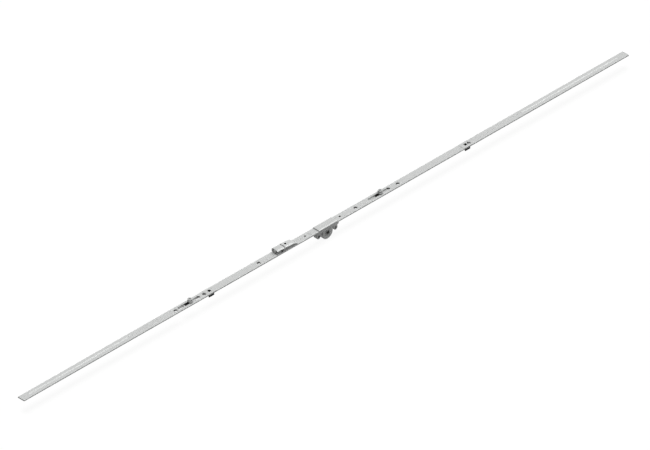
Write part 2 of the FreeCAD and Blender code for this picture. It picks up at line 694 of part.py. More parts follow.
def make_gear_casing(side, sign):
    """One half of the casing from the middle plane out, its round part standing out beyond the arms."""
    half = crosswise_span(sign, "0", HALF_CASING)
    name = f"gear_casing_{side}"
    bevel_from = f"({HALF_ROUND} - Sizes.casing_round_bevel)"
    face_radius = f"{CASING_OUTSIDE} - Sizes.casing_round_bevel"
    bevel_radii = (face_radius, CASING_OUTSIDE) if sign < 0 else (CASING_OUTSIDE, face_radius)
    disc = fuse(f"{name}_disc", [
        crosswise(f"{name}_rim", "0", "0", CASING_OUTSIDE, crosswise_span(sign, "0", bevel_from)),
        crosswise_taper(f"{name}_rim_bevel", "0", "0", *bevel_radii,
                        crosswise_span(sign, bevel_from, HALF_ROUND)),
    ])
    round_part = cut(f"{name}_round", disc, [
        slab(f"{name}_above", middle(f"2 * {CASING_OUTSIDE}"), middle(f"2 * {HALF_ROUND}"),
             (CASING_TOP, f"2 * {CASING_OUTSIDE}"))])
    arm_reach = f"{HALF_BOSSES} + Sizes.boss_radius"
    pieces = [
        round_part,
        slab(f"{name}_arms", middle(arm_reach), half, (f"{CASING_TOP} - Sizes.casing_arm_drop", CASING_TOP)),
        slab(f"{name}_shelf", RAIL_SPAN, crosswise_span(sign, "0", RAIL_OUTSIDE),
             (f"{CASING_TOP} - Sizes.casing_shelf_thickness", CASING_TOP)),
        slab(f"{name}_rail", RAIL_SPAN, crosswise_span(sign, RAIL_INSIDE, RAIL_OUTSIDE),
             (f"{CASING_TOP} - Sizes.casing_shelf_thickness", PLATE_UNDER)),
    ]
    tools = [
        crosswise(f"{name}_cavity", "0", "0", CASING_INSIDE, crosswise_span(sign, "0", CASING_CAVITY)),
        crosswise(f"{name}_hub_bore", "0", "0", "Sizes.hub_radius + Sizes.hub_clearance",
                  middle(f"2 * {HALF_CASING}")),
    ]
    for number, along in enumerate((-1, 1)):
        boss = f"{along} * {HALF_BOSSES}"
        pieces.append(crosswise(f"{name}_boss_{number}", boss, "0", "Sizes.boss_radius", half))
        pieces.append(slab(f"{name}_column_{number}", around(boss, "Sizes.boss_radius"), half,
                           ("0", CASING_TOP)))
        tools.append(crosswise(f"{name}_screw_hole_{number}", boss, "0", "Sizes.handle_screw_radius",
                               middle(f"2 * {HALF_CASING}")))
        rivet = f"{along} * Sizes.casing_rivet_x"
        tools.append(crosswise(f"{name}_rivet_hole_{number}", rivet, "Sizes.casing_rivet_z",
                               "Sizes.casing_rivet_radius + Sizes.rivet_clearance",
                               middle(f"2 * {HALF_CASING}")))
        tools.append(crosswise(f"{name}_rivet_seat_{number}", rivet, "Sizes.casing_rivet_z",
                               "Sizes.casing_rivet_head_radius + Sizes.casing_rivet_seat_gap",
                               crosswise_span(sign, RIVET_SEAT, HALF_CASING)))
    if side == "front":
        tools.append(crosswise(f"{name}_index_hole", "Sizes.index_hole_x", "Sizes.index_hole_z",
                               "Sizes.index_hole_radius", middle(f"2 * {HALF_CASING}")))
    for corner, x, across in FIXING_RIVETS:
        if across == sign:
            tools.append(upright(f"{name}_fixing_hole_{corner}", x, f"{across} * {FIXING_RIVET_Y}",
                                 "Sizes.fixing_rivet_radius + Sizes.rivet_clearance",
                                 (f"{PLATE_UNDER} - Sizes.fixing_rivet_depth", PLATE_UNDER)))
    return cut(name, fuse(f"{name}_blank", pieces), tools)


def make_casing_rivets():
    """Two rivets across the casing, each with a head sunk into both faces."""
    rivets = []
    for number, along in enumerate((-1, 1)):
        x = f"{along} * Sizes.casing_rivet_x"
        name = f"casing_rivet_{number}"
        rivets.append(fuse(name, [
            crosswise(f"{name}_shank", x, "Sizes.casing_rivet_z", "Sizes.casing_rivet_radius",
                      middle(RIVET_END)),
            crosswise(f"{name}_front_head", x, "Sizes.casing_rivet_z", "Sizes.casing_rivet_head_radius",
                      crosswise_span(-1, RIVET_SEAT, RIVET_END)),
            crosswise(f"{name}_back_head", x, "Sizes.casing_rivet_z", "Sizes.casing_rivet_head_radius",
                      crosswise_span(1, RIVET_SEAT, RIVET_END)),
        ]))
    return group("casing_rivets", rivets)


def group(name, solids):
    """Separate solids that share one name."""
    item = document.addObject("Part::Compound", name)
    item.Links = solids
    return item


# Guide clips

def make_guide_clip(side):
    """A plastic frame around the rod, held by a square stud through the faceplate."""
    centre = f"Sizes.clip_{side}_x"
    name = f"guide_clip_{side}"
    half_length = "Sizes.clip_length / 2"
    half_width = "Sizes.clip_width / 2"
    inside = f"({HALF_ROD} + Sizes.clip_side_gap)"
    floor = f"({ROD_UNDER} - Sizes.clip_rod_gap)"
    web_under = f"({floor} - Sizes.clip_low_web)"
    foot = f"({web_under} - Sizes.clip_foot_height)"
    stud = "Sizes.clip_stud_side / 2"
    frame = fuse(f"{name}_blank", [
        slab(f"{name}_frame", around(centre, half_length), middle(half_width), (foot, CLIP_ROOF)),
        slab(f"{name}_stud", around(centre, stud), middle(stud),
             (CLIP_ROOF, f"{CLIP_PAD_TOP} + Sizes.clip_stud_stand_out")),
    ])
    long_way = around(centre, "Sizes.clip_length")
    return cut(name, frame, [
        slab(f"{name}_channel", long_way, middle(inside), (floor, f"{ROD_TOP} + Sizes.clip_rod_gap")),
        slab(f"{name}_underside", long_way, middle(inside), (f"{foot} - Sizes.clip_foot_height", web_under)),
    ])


# Cams

CAM_FLANGE_UNDER = f"({PLATE_TOP} + Sizes.cam_flange_gap)"
CAM_FLANGE_TOP = f"({CAM_FLANGE_UNDER} + Sizes.cam_flange_height)"
CAM_ROLLER_UNDER = f"({CAM_FLANGE_TOP} + Sizes.cam_roller_end_gap)"
CAM_ROLLER_TOP = f"({CAM_ROLLER_UNDER} + Sizes.cam_roller_height)"
CAM_HEAD_UNDER = f"({CAM_ROLLER_TOP} + Sizes.cam_roller_end_gap)"
CAM_TOP = f"({CAM_HEAD_UNDER} + Sizes.cam_head_height)"
WASHER_UNDER = f"({ROD_UNDER} - Sizes.washer_thickness)"
CAM_FOOT_TOP = f"({WASHER_UNDER} - Sizes.cam_running_gap)"


def make_cam_bolt(side):
    """An eccentric bolt: foot, journal in the rod, shoulder in the slot, flange, post and head."""
    x = f"Sizes.cam_{side}_x"
    post_x = f"{x} + Sizes.cam_eccentricity"
    name = f"cam_bolt_{side}"
    head_from = f"{CAM_HEAD_UNDER} + Sizes.cam_head_under_bevel"
    bevel_from = f"{CAM_TOP} - Sizes.cam_head_bevel"
    journal_top = f"{ROD_TOP} + Sizes.cam_running_gap"
    blank = fuse(f"{name}_blank", [
        upright(f"{name}_foot", x, "0", "Sizes.cam_foot_radius",
                (f"{CAM_FOOT_TOP} - Sizes.cam_foot_height", CAM_FOOT_TOP)),
        upright(f"{name}_journal", x, "0", "Sizes.cam_journal_radius", (CAM_FOOT_TOP, journal_top)),
        upright(f"{name}_shoulder", x, "0", "Sizes.cam_shoulder_radius", (journal_top, CAM_FLANGE_UNDER)),
        upright(f"{name}_flange", post_x, "0", "Sizes.cam_flange_radius",
                (CAM_FLANGE_UNDER, CAM_FLANGE_TOP)),
        upright(f"{name}_post", post_x, "0", "Sizes.cam_post_radius", (CAM_FLANGE_TOP, CAM_HEAD_UNDER)),
        taper(f"{name}_head_under", post_x, "0", "Sizes.cam_post_radius", "Sizes.cam_head_radius",
              (CAM_HEAD_UNDER, head_from)),
        upright(f"{name}_head", post_x, "0", "Sizes.cam_head_radius", (head_from, bevel_from)),
        taper(f"{name}_head_bevel", post_x, "0", "Sizes.cam_head_radius",
              "Sizes.cam_head_radius - Sizes.cam_head_bevel", (bevel_from, CAM_TOP)),
    ])
    socket = document.addObject("Part::Prism", f"{name}_socket")
    socket.Polygon = 6
    bind(socket, {
        "Circumradius": "Sizes.cam_socket_across / sqrt(3)",
        "Height": "2 * Sizes.cam_socket_depth",
    })
    place(socket, post_x, "0", f"{CAM_TOP} - Sizes.cam_socket_depth")
    return cut(name, blank, [socket])


def make_cam_roller(side):
    post_x = f"Sizes.cam_{side}_x + Sizes.cam_eccentricity"
    return ring(f"cam_roller_{side}", post_x, "Sizes.cam_post_radius + Sizes.cam_roller_gap",
                "Sizes.cam_roller_radius", (CAM_ROLLER_UNDER, CAM_ROLLER_TOP))


def make_cam_washer(side):
    return ring(f"cam_washer_{side}", f"Sizes.cam_{side}_x",
                "Sizes.cam_journal_radius + Sizes.cam_running_gap", "Sizes.washer_radius",
                (WASHER_UNDER, ROD_UNDER))


def make_cam_plug(side):
    """A round plastic plug on the rod, flush with the faceplate in the slot beside the cam."""
    x = f"Sizes.cam_{side}_x - Sizes.plug_offset"
    name = f"cam_plug_{side}"
    return fuse(name, [
        upright(f"{name}_block", x, "0", "Sizes.cam_shoulder_radius", (ROD_TOP, PLATE_TOP)),
        upright(f"{name}_peg", x, "0", "Sizes.plug_peg_radius",
                (f"{ROD_UNDER} - Sizes.plug_peg_depth", ROD_TOP)),
    ])


# Sash lifter

HALF_LIFTER = "(Sizes.lifter_width / 2)"
HALF_TONGUE = "(Sizes.lever_tongue_width / 2)"
PIVOT_Z = f"({PLATE_TOP} + Sizes.lever_pivot_height)"
LIFTER_TOP = f"({PLATE_TOP} + Sizes.lifter_height_left)"

# The housing's top falls by this angle from the lever to the ridge
LIFTER_FALL = ("atan((Sizes.lifter_height_left - Sizes.lifter_height_ridge)"
               " / (Sizes.lifter_ridge - Sizes.lifter_left))")


def common(name, shapes):
    item = document.addObject("Part::MultiCommon", name)
    item.Shapes = shapes
    item.Refine = True
    return item


def bevelled_outline(top, low):
    """The lifter's end view with both upper edges bevelled."""
    return [
        (f"-{HALF_LIFTER}", low),
        (HALF_LIFTER, low),
        (HALF_LIFTER, f"{top} - Sizes.lifter_bevel"),
        (f"{HALF_LIFTER} - Sizes.lifter_bevel", top),
        (f"-{HALF_LIFTER} + Sizes.lifter_bevel", top),
        (f"-{HALF_LIFTER}", f"{top} - Sizes.lifter_bevel"),
    ]


def make_lifter_housing():
    """The ramped block, stepped and forked at its left end for the lever."""
    cheek_top = f"{PLATE_TOP} + Sizes.lifter_cheek_height"
    side_view = prism_along_y("lifter_side_view", [
        ("Sizes.lifter_cheek_left", PLATE_TOP),
        ("Sizes.lifter_right", PLATE_TOP),
        ("Sizes.lifter_right", f"{PLATE_TOP} + Sizes.lifter_height_right"),
        ("Sizes.lifter_ridge", f"{PLATE_TOP} + Sizes.lifter_height_ridge"),
        ("Sizes.lifter_left", LIFTER_TOP),
        ("Sizes.lifter_left", cheek_top),
        ("Sizes.lifter_cheek_left", cheek_top),
    ], middle(HALF_LIFTER))
    end_view = prism_along_x("lifter_end_view", bevelled_outline("0", "-2 * Sizes.lifter_height_left"),
                             middle("2 * (Sizes.lifter_right - Sizes.lifter_left)"))
    place(end_view, "Sizes.lifter_left", "0", LIFTER_TOP,
          FreeCAD.Rotation(FreeCAD.Vector(0, 1, 0), value(LIFTER_FALL)))
    end_view.setExpression("Placement.Rotation.Angle", LIFTER_FALL)
    block = common("lifter_block", [side_view, end_view])
    fork_half = f"({HALF_TONGUE} + Sizes.lifter_fork_gap)"
    tools = [
        slab("lifter_fork", ("2 * Sizes.lifter_cheek_left", "Sizes.lifter_fork_back"), middle(fork_half),
             (PLATE_TOP, f"{PLATE_TOP} + Sizes.lifter_fork_height")),
        upright("lifter_screw_hole", "Sizes.lifter_screw_x", "0", "Sizes.screw_radius",
                (PLATE_TOP, f"{LIFTER_TOP} + Sizes.lifter_bevel")),
        crosswise("lifter_pin_hole", "Sizes.lever_pivot_x", PIVOT_Z,
                  "Sizes.pivot_pin_radius + Sizes.rivet_clearance", middle(f"2 * {HALF_LIFTER}")),
    ]
    tools += lifter_rivet_solids("lifter_blind_hole", "Sizes.rivet_clearance")
    return cut("lifter_housing", block, tools)


LEVER_FLOOR = f"({PLATE_TOP} + Sizes.lever_floor)"
LIP_UNDER = f"({PLATE_TOP} + Sizes.lever_lip_height)"
TONGUE_TOP = f"({PLATE_TOP} + Sizes.lever_tongue_height)"
OPENING_LOW = f"({PLATE_TOP} + Sizes.nose_opening_low)"
OPENING_HIGH = f"({PLATE_TOP} + Sizes.nose_opening_high)"
NOSE_PIN_TOP = f"({PLATE_TOP} + Sizes.nose_pin_top)"
SPRING_TOP = f"({PLATE_TOP} + Sizes.spring_length)"


def make_lifter_lever():
    """The nose: a block as wide as the housing, open at its end for the roller, on a pivoted tongue."""
    block = common("lever_block", [
        prism_along_x("lever_end_view", bevelled_outline(LIFTER_TOP, LEVER_FLOOR),
                      ("Sizes.lever_left", "Sizes.lever_lip_right")),
        prism_along_y("lever_side_view", [
            ("Sizes.lever_left", LEVER_FLOOR),
            ("Sizes.lever_body_right", LEVER_FLOOR),
            ("Sizes.lever_body_right", LIP_UNDER),
            ("Sizes.lever_lip_right", LIP_UNDER),
            ("Sizes.lever_lip_right", LIFTER_TOP),
            ("Sizes.lever_left", LIFTER_TOP),
        ], middle(HALF_LIFTER)),
    ])
    tongue_back = "Sizes.lifter_fork_back - Sizes.lever_stop_gap"
    tongue_end = "Sizes.lever_body_right - Sizes.lifter_bevel"
    tongue = prism_along_y("lever_tongue", [
        (tongue_end, LEVER_FLOOR),
        (tongue_back, LEVER_FLOOR),
        (tongue_back, TONGUE_TOP),
        ("Sizes.lever_lip_right", TONGUE_TOP),
        ("Sizes.lever_lip_right", f"{LIFTER_TOP} - Sizes.lifter_bevel"),
        (tongue_end, f"{LIFTER_TOP} - Sizes.lifter_bevel"),
    ], middle(HALF_TONGUE))
    opening_back = "Sizes.nose_roller_x + Sizes.nose_roller_radius + Sizes.nose_roller_clear"
    return cut("lifter_lever", fuse("lever_blank", [block, tongue]), [
        slab("lever_opening", ("2 * Sizes.lever_left", opening_back), middle("Sizes.nose_opening_width / 2"),
             (OPENING_LOW, OPENING_HIGH)),
        upright("lever_nose_hole", "Sizes.nose_roller_x", "0",
                "Sizes.nose_pin_radius + Sizes.rivet_clearance", (PLATE_TOP, NOSE_PIN_TOP)),
        crosswise("lever_pivot_hole", "Sizes.lever_pivot_x", PIVOT_Z,
                  "Sizes.pivot_pin_radius + Sizes.pivot_pin_clearance", middle("Sizes.lever_tongue_width")),
        upright("lever_spring_pocket", "Sizes.spring_x", "0",
                "Sizes.spring_radius + Sizes.spring_wire_radius + Sizes.spring_pocket_gap",
                (PLATE_TOP, SPRING_TOP)),
    ])


def make_lifter_roller():
    under = f"{OPENING_LOW} + Sizes.nose_roller_end_gap"
    top = f"{OPENING_HIGH} - Sizes.nose_roller_end_gap"
    return ring("lifter_roller", "Sizes.nose_roller_x", "Sizes.nose_pin_radius + Sizes.nose_pin_clearance",
                "Sizes.nose_roller_radius", (under, top))


def make_lifter_spring():
    """A coil spring that stands on the faceplate and pushes the lever up."""
    wire = value("Sizes.spring_wire_radius")
    radius = value("Sizes.spring_radius")
    height = value("Sizes.spring_length") - 2 * wire
    path = Part.makeHelix(height / value("Sizes.spring_turns"), height, radius)
    section = Part.Circle(FreeCAD.Vector(radius, 0, 0), FreeCAD.Vector(0, 1, 0), wire).toShape()
    coil = Part.Wire(path.Edges).makePipeShell([Part.Wire(section)], True, True)
    item = document.addObject("Part::Feature", "lifter_spring")
    item.Shape = coil
    foot = value(PLATE_TOP) + wire
    item.Placement = FreeCAD.Placement(FreeCAD.Vector(value("Sizes.spring_x"), 0, foot), UPRIGHT)
    return item


NODES = [
    make_faceplate(),
    make_rack_bar(),
    make_drive_rod("left", LEFT_ROD_SCREWS),
    make_drive_rod("right", RIGHT_ROD_SCREWS),
    make_follower_pinion(),
    make_gear_casing("front", -1),
    make_gear_casing("back", 1),
    make_casing_rivets(),
    group("casing_fixing_rivets", fixing_rivet_solids("fixing_rivet", "0")),
    make_lifter_housing(),
    make_lifter_lever(),
    make_lifter_roller(),
    upright("lifter_roller_pin", "Sizes.nose_roller_x", "0", "Sizes.nose_pin_radius",
            (LEVER_FLOOR, NOSE_PIN_TOP)),
    crosswise("lifter_pivot_pin", "Sizes.lever_pivot_x", PIVOT_Z, "Sizes.pivot_pin_radius",
              middle(f"{HALF_LIFTER} - Sizes.pivot_pin_recess")),
    make_lifter_spring(),
    group("lifter_rivets", lifter_rivet_solids("lifter_rivet", "0")),
]
for side in SIDES:
    NODES += [
        make_guide_clip(side),
        make_cam_bolt(side),
        make_cam_roller(side),
        make_cam_washer(side),
        make_cam_plug(side),
    ]

document.recompute()
for item in document.Objects:
    if "Invalid" in item.State or "Error" in item.State:
        raise RuntimeError(f"{item.Name} failed: {item.State}")

os.makedirs("parts", exist_ok=True)
for node in NODES:
    node.Label = node.Name
    if node.Shape.isNull() or not node.Shape.isValid():
        raise RuntimeError(f"{node.Name} has no valid shape")
    node.Shape.exportStep(f"parts/{node.Name}.step")
    print(f"{node.Name}: {len(node.Shape.Solids)} solid, {node.Shape.Volume:.1f} cubic mm")
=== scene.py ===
"""Looks of the window espagnolette: fine meshes, procedural metals and plastic, studio light."""

import json
import math

import bmesh
import bpy
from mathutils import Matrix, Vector


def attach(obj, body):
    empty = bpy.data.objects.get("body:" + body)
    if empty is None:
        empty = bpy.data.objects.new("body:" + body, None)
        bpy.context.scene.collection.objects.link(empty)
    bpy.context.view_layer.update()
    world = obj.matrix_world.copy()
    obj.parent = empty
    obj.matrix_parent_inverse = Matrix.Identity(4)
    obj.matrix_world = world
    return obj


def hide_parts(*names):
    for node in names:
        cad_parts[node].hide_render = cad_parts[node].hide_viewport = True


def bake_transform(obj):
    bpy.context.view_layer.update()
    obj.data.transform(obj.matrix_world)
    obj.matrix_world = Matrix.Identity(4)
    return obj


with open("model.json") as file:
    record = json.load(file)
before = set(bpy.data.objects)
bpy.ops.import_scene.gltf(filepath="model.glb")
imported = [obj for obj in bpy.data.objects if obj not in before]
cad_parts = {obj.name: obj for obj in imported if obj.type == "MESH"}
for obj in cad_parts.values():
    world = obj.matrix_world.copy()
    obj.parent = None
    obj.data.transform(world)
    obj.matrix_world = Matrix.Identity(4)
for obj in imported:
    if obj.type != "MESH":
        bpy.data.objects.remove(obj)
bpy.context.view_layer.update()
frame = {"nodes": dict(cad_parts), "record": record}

MM = 0.001
ROUND_STEPS = 64
SIDES = ("left", "right")

# Pinion and rack, and the heights along Z that follow from them, in millimetres as in the CAD model
PINION_TEETH = 12
TOOTH_PITCH = 6.0
RACK_PITCH_DEPTH = 1.21
ROD_THICKNESS = 2.0
ROD_GAP = 0.25
PLATE_THICKNESS = 2.5
PITCH_RADIUS = PINION_TEETH * TOOTH_PITCH / (2 * math.pi)
ROD_UNDER = PITCH_RADIUS - RACK_PITCH_DEPTH
ROD_TOP = ROD_UNDER + ROD_THICKNESS
PLATE_UNDER = ROD_TOP + ROD_GAP
PLATE_TOP = PLATE_UNDER + PLATE_THICKNESS
TRAVEL = PINION_TEETH * TOOTH_PITCH / 4

# How far cutting tools reach past what they cut
CUT_BELOW = 1.0
CUT_ABOVE = 3.0

# Limits for smoothing, for whole flat faces and for edges that get rounded
SMOOTH_ANGLE = math.radians(30)
FLAT_ANGLE = math.radians(1)
SHARP_ANGLE = math.radians(35)
MERGE_DISTANCE = 0.001


# Mesh building, in millimetres

def new_object(name, bm):
    """A mesh object from a bmesh drawn in millimetres."""
    bmesh.ops.recalc_face_normals(bm, faces=bm.faces)
    for vert in bm.verts:
        vert.co *= MM
    mesh = bpy.data.meshes.new(name)
    bm.to_mesh(mesh)
    bm.free()
    item = bpy.data.objects.new(name, mesh)
    bpy.context.scene.collection.objects.link(item)
    return item


def add_prism(bm, corners, low, high, axis):
    """A closed outline stretched along an axis, the outline given in the other two axes' order."""
    def spot(across, up, along):
        return {"X": (along, across, up), "Y": (across, along, up), "Z": (across, up, along)}[axis]

    ends = [[bm.verts.new(spot(across, up, along)) for across, up in corners]
            for along in (low, high)]
    bm.faces.new(ends[0])
    bm.faces.new(reversed(ends[1]))
    count = len(corners)
    for index in range(count):
        follower = (index + 1) % count
        bm.faces.new((ends[0][index], ends[0][follower], ends[1][follower], ends[1][index]))


def add_box(bm, x, y, z):
    add_prism(bm, [(y[0], z[0]), (y[1], z[0]), (y[1], z[1]), (y[0], z[1])], x[0], x[1], "X")


def circle(centre, radius, steps=ROUND_STEPS):
    return [(centre[0] + radius * math.cos(2 * math.pi * step / steps),
             centre[1] + radius * math.sin(2 * math.pi * step / steps)) for step in range(steps)]


def add_turned(bm, centre, outline, closed=False):
    """A solid of revolution about an upright axis, from radius and height pairs."""
    rings = [[bm.verts.new((across, along, height)) for across, along in circle(centre, radius)]
             for radius, height in outline]
    pairs = list(zip(rings, rings[1:]))
    if closed:
        pairs.append((rings[-1], rings[0]))
    else:
        bm.faces.new(rings[0])
        bm.faces.new(reversed(rings[-1]))
    for low, high in pairs:
        for step in range(ROUND_STEPS):
            follower = (step + 1) % ROUND_STEPS
            bm.faces.new((low[step], low[follower], high[follower], high[step]))


def add_hole(bm, centre, radius, z):
    add_turned(bm, centre, [(radius, z[0]), (radius, z[1])])


def add_slot(bm, x_low, x_high, half_width, z):
    """A round ended slot along X whose end centres lie at the two x values."""
    half = ROUND_STEPS // 2
    corners = []
    for centre, start in ((x_high, -math.pi / 2), (x_low, math.pi / 2)):
        for step in range(half + 1):
            angle = start + math.pi * step / half
            corners.append((centre + half_width * math.cos(angle), half_width * math.sin(angle)))
    add_prism(bm, corners, z[0], z[1], "Z")


def combine(base, tool, operation):
    """Applies one exact boolean and removes the tool."""
    modifier = base.modifiers.new("boolean", "BOOLEAN")
    modifier.operation = operation
    modifier.solver = "EXACT"
    modifier.object = tool
    graph = bpy.context.evaluated_depsgraph_get()
    mesh = bpy.data.meshes.new_from_object(base.evaluated_get(graph))
    base.modifiers.clear()
    base.data = mesh
    bpy.data.objects.remove(tool)
    return base


def smooth(item):
    """Smooth shading inside round faces, sharp at the edges."""
    item.data.shade_smooth()
    item.data.set_sharp_from_angle(angle=SMOOTH_ANGLE)
    return item


# Faceplate

HALF_PLATE = 8.0
PLATE_ENDS = (-766.5, 773.5)
PLATE_BEVEL = 0.4
EDGE_ROUNDING = 0.12
ROUNDING_SLANT = 0.7
BRIDGE_ENDS = (-24.2, 22.5)
BRIDGE_RISE = 2.4
BRIDGE_BEVEL = 1.6
CHANNEL_HALF_WIDTH = 4.0
CLIPS = (-295.0, 358.0)
CLIP_PAD_HALF = 11.0
CLIP_PAD_RISE = 0.5
CLIP_SEAT_HALF = 6.6
CLIP_ROOF = ROD_TOP + 1.4
STUD_HOLE_HALF = 2.85
CAMS = {"left": -344.4, "right": 138.3}
PLUG_OFFSET = 7.2
CAM_SLOT_SPARES = (0.5, 3.6)
CAM_SLOT_HALF_WIDTH = 3.5
SCREWS = {"left": (-380.0, -308.0, -170.0), "right": (76.0, 184.0, 366.5)}
SCREW_RADIUS = 2.25
SCREW_HEAD_RADIUS = 4.2
SCREW_HEAD_DEPTH = 1.9
SCREW_RING_RADIUS = 3.3
SCREW_RING_DEPTH = 0.9
LIFTER_SCREW = -102.5
GAUGE_HOLES = (-52.0, 36.0)
GAUGE_HOLE_RADIUS = 2.1
STAKE_MARKS = (-41.5, 25.5)
STAKE_MARK_RADII = (2.1, 2.8)
STAKE_MARK_DEPTH = 0.3
FIXING_RIVETS = (-27.5, 24.3)
FIXING_RIVET_Y = 6.1
FIXING_HOLE_RADII = (0.89, 1.29)
FIXING_HEAD_HEIGHT = 0.8
LIFTER_RIVETS = (-96.0, -86.0)
LIFTER_RIVET_HOLE_RADII = (1.44, 2.44)
LIFTER_RIVET_HEAD_HEIGHT = 1.0
GROOVES = ((-746.5, -497.5), (504.5, 753.5))
GROOVE_HALF_WIDTH = 1.5
GROOVE_DEPTH = 1.0


def plate_profile(top, bevel):
    """The faceplate's end view, both bevels with their corners rounded off."""
    low, high = top - bevel, HALF_PLATE - bevel
    slant = ROUNDING_SLANT * EDGE_ROUNDING
    edge = [(HALF_PLATE, PLATE_UNDER), (HALF_PLATE, low - EDGE_ROUNDING),
            (HALF_PLATE - slant, low + slant), (high + slant, top - slant),
            (high - EDGE_ROUNDING, top)]
    return edge + [(-across, up) for across, up in reversed(edge)]


def make_faceplate():
    bm = bmesh.new()
    add_prism(bm, plate_profile(PLATE_TOP, PLATE_BEVEL), *PLATE_ENDS, "X")
    plate = new_object("faceplate_fine", bm)
    raised = [(*BRIDGE_ENDS, BRIDGE_RISE, BRIDGE_BEVEL)]
    raised += [(clip - CLIP_PAD_HALF, clip + CLIP_PAD_HALF, CLIP_PAD_RISE, PLATE_BEVEL)
               for clip in CLIPS]
    for low, high, rise, bevel in raised:
        bm = bmesh.new()
        add_prism(bm, plate_profile(PLATE_TOP + rise, bevel), low, high, "X")
        plate = combine(plate, new_object("raised", bm), "UNION")

    under, over = PLATE_UNDER - CUT_BELOW, PLATE_TOP + CUT_ABOVE
    bm = bmesh.new()
    for x in SCREWS["left"] + SCREWS["right"]:
        add_turned(bm, (x, 0), [(SCREW_RADIUS, under), (SCREW_RADIUS, PLATE_TOP - SCREW_HEAD_DEPTH),
                                (SCREW_RING_RADIUS, PLATE_TOP - SCREW_RING_DEPTH),
                                (SCREW_HEAD_RADIUS, PLATE_TOP), (SCREW_HEAD_RADIUS, over)])
    for x in GAUGE_HOLES:
        add_hole(bm, (x, 0), GAUGE_HOLE_RADIUS, (under, over))
    add_hole(bm, (LIFTER_SCREW, 0), SCREW_RADIUS, (under, over))
    for x in CAMS.values():
        add_slot(bm, x - PLUG_OFFSET - TRAVEL - CAM_SLOT_SPARES[0], x + TRAVEL + CAM_SLOT_SPARES[1],
                 CAM_SLOT_HALF_WIDTH, (under, over))
    add_box(bm, (BRIDGE_ENDS[0] + BRIDGE_BEVEL, BRIDGE_ENDS[1] - BRIDGE_BEVEL),
            (-CHANNEL_HALF_WIDTH, CHANNEL_HALF_WIDTH), (under, PLATE_UNDER + BRIDGE_RISE))
    neck, head = FIXING_HOLE_RADII
    for x in FIXING_RIVETS:
        for y in (-FIXING_RIVET_Y, FIXING_RIVET_Y):
            add_turned(bm, (x, y), [(neck, under), (neck, PLATE_TOP - FIXING_HEAD_HEIGHT),
                                    (head, PLATE_TOP), (head, over)])
    neck, head = LIFTER_RIVET_HOLE_RADII
    for x in LIFTER_RIVETS:
        add_turned(bm, (x, 0), [(head, under), (head, PLATE_UNDER),
                                (neck, PLATE_UNDER + LIFTER_RIVET_HEAD_HEIGHT), (neck, over)])
    wide, above = 2 * GROOVE_HALF_WIDTH, PLATE_TOP + GROOVE_DEPTH
    for low, high in GROOVES:
        add_prism(bm, [(-wide, above), (0, PLATE_TOP - GROOVE_DEPTH), (wide, above)],
                  low, high, "X")
    for x in STAKE_MARKS:
        inner, outer = STAKE_MARK_RADII
        foot = PLATE_TOP - STAKE_MARK_DEPTH
        add_turned(bm, (x, 0), [(inner, foot), (outer, foot), (outer, over), (inner, over)], True)
    plate = combine(plate, new_object("holes", bm), "DIFFERENCE")
    for half, top in ((CLIP_SEAT_HALF, CLIP_ROOF), (STUD_HOLE_HALF, over)):
        bm = bmesh.new()
        for x in CLIPS:
            add_box(bm, (x - half, x + half), (-half, half), (under, top))
        plate = combine(plate, new_object("clip_openings", bm), "DIFFERENCE")
    return smooth(plate)


# Drive rods

HALF_ROD = 4.5
ROD_END = 455.0
RACK_ENDS = {"left": 56.0, "right": 46.0}
HOOK_CLEARANCE = 0.05
HOOK_NECK_LENGTH = 3.0
HOOK_HEAD_LENGTH = 3.5
HOOK_HALF_WIDTHS = (1.55, 3.05)
SCREW_SLOT_SPARE = 0.5
CAM_HOLE_RADIUS = 2.65
PLUG_HOLE_RADIUS = 1.54
COUPLING_HOLE_X = 447.0
COUPLING_HOLE_RADIUS = 3.0


def make_rod(side):
    sign = -1 if side == "left" else 1
    rack_end = RACK_ENDS[side]
    through = (ROD_UNDER - CUT_BELOW, ROD_TOP + CUT_BELOW)
    bm = bmesh.new()
    add_box(bm, sorted((sign * (rack_end + HOOK_CLEARANCE), sign * ROD_END)),
            (-HALF_ROD, HALF_ROD), (ROD_UNDER, ROD_TOP))
    rod = new_object(f"drive_rod_{side}_fine", bm)
    bm = bmesh.new()
    slots = SCREWS[side] + ((LIFTER_SCREW,) if side == "left" else ())
    reach = TRAVEL + SCREW_SLOT_SPARE
    for screw in slots:
        add_slot(bm, screw - reach, screw + reach, SCREW_RADIUS + SCREW_SLOT_SPARE, through)
    add_hole(bm, (CAMS[side], 0), CAM_HOLE_RADIUS, through)
    add_hole(bm, (CAMS[side] - PLUG_OFFSET, 0), PLUG_HOLE_RADIUS, through)
    add_hole(bm, (sign * COUPLING_HOLE_X, 0), COUPLING_HOLE_RADIUS, through)
    rod = combine(rod, new_object("holes", bm), "DIFFERENCE")
    neck_end = rack_end + HOOK_NECK_LENGTH
    pockets = [(rack_end - HOOK_NECK_LENGTH, neck_end + HOOK_CLEARANCE, HOOK_HALF_WIDTHS[0]),
               (neck_end - HOOK_CLEARANCE, neck_end + HOOK_HEAD_LENGTH + HOOK_CLEARANCE,
                HOOK_HALF_WIDTHS[1])]
    for start, end, half in pockets:
        bm = bmesh.new()
        add_box(bm, sorted((sign * start, sign * end)), (-half, half), through)
        rod = combine(rod, new_object("pocket", bm), "DIFFERENCE")
    return smooth(rod)


